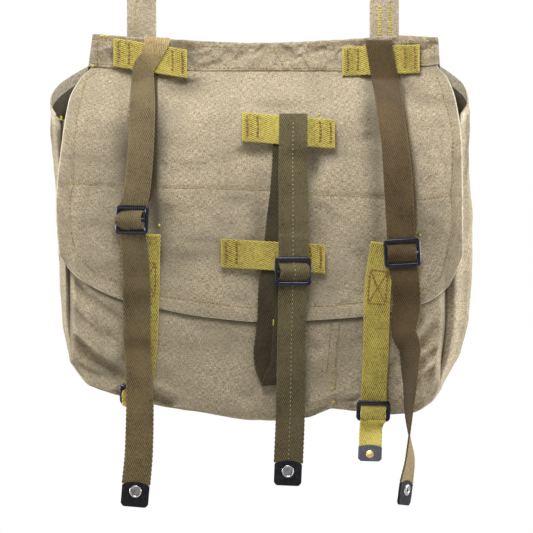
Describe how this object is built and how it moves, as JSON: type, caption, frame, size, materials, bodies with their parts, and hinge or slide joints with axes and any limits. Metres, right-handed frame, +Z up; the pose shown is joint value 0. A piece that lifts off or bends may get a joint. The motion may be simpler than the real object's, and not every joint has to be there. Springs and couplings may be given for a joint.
{
  "type": "canvas shoulder bag",
  "caption": "Canvas shoulder bag with a hollow pouch, a hanging flap, a whole shoulder strap and webbing straps with slide buckles and snap tabs on its front.",
  "frame": {"origin": "under the crown of the shoulder strap, where the bag hangs on a hook or a shoulder", "axes": "+X to the right of someone facing the flap, +Y away from them, +Z up"},
  "size_m": [0.36, 0.0947, 0.8429],
  "materials": {
    "canvas": "heathered plain-weave canvas",
    "olive_webbing": "ribbed cotton webbing",
    "dark_olive_webbing": "ribbed cotton webbing",
    "yellow_webbing": "ribbed cotton webbing",
    "buckle_steel": "satin black enamel",
    "tab": "smooth dyed leather",
    "snap_steel": "bright steel",
    "snap_brass": "worn brass"
  },
  "bodies": {
    "root": {"front_panel": "canvas", "back_panel": "canvas", "gusset": "canvas", "flap": "canvas", "top_band": "canvas", "shoulder_strap": "canvas", "band_keeper_left": "yellow_webbing", "band_keeper_right": "yellow_webbing", "flap_keeper_upper": "yellow_webbing", "flap_keeper_lower": "yellow_webbing", "left_strap": "olive_webbing", "left_tip": "tab", "left_snap": "snap_steel", "left_buckle": "buckle_steel", "centre_strap": "dark_olive_webbing", "centre_tip": "tab", "centre_snap": "snap_steel", "centre_buckle": "buckle_steel", "right_strap": "olive_webbing", "right_tip": "tab", "right_snap": "snap_steel", "right_buckle": "buckle_steel", "left_closure": "yellow_webbing", "left_closure_buckle": "buckle_steel", "left_closure_tip": "tab", "left_closure_snap": "snap_brass", "right_closure": "yellow_webbing", "right_closure_buckle": "buckle_steel", "right_closure_tip": "tab", "right_closure_snap": "snap_brass"}
  },
  "joints": []
}
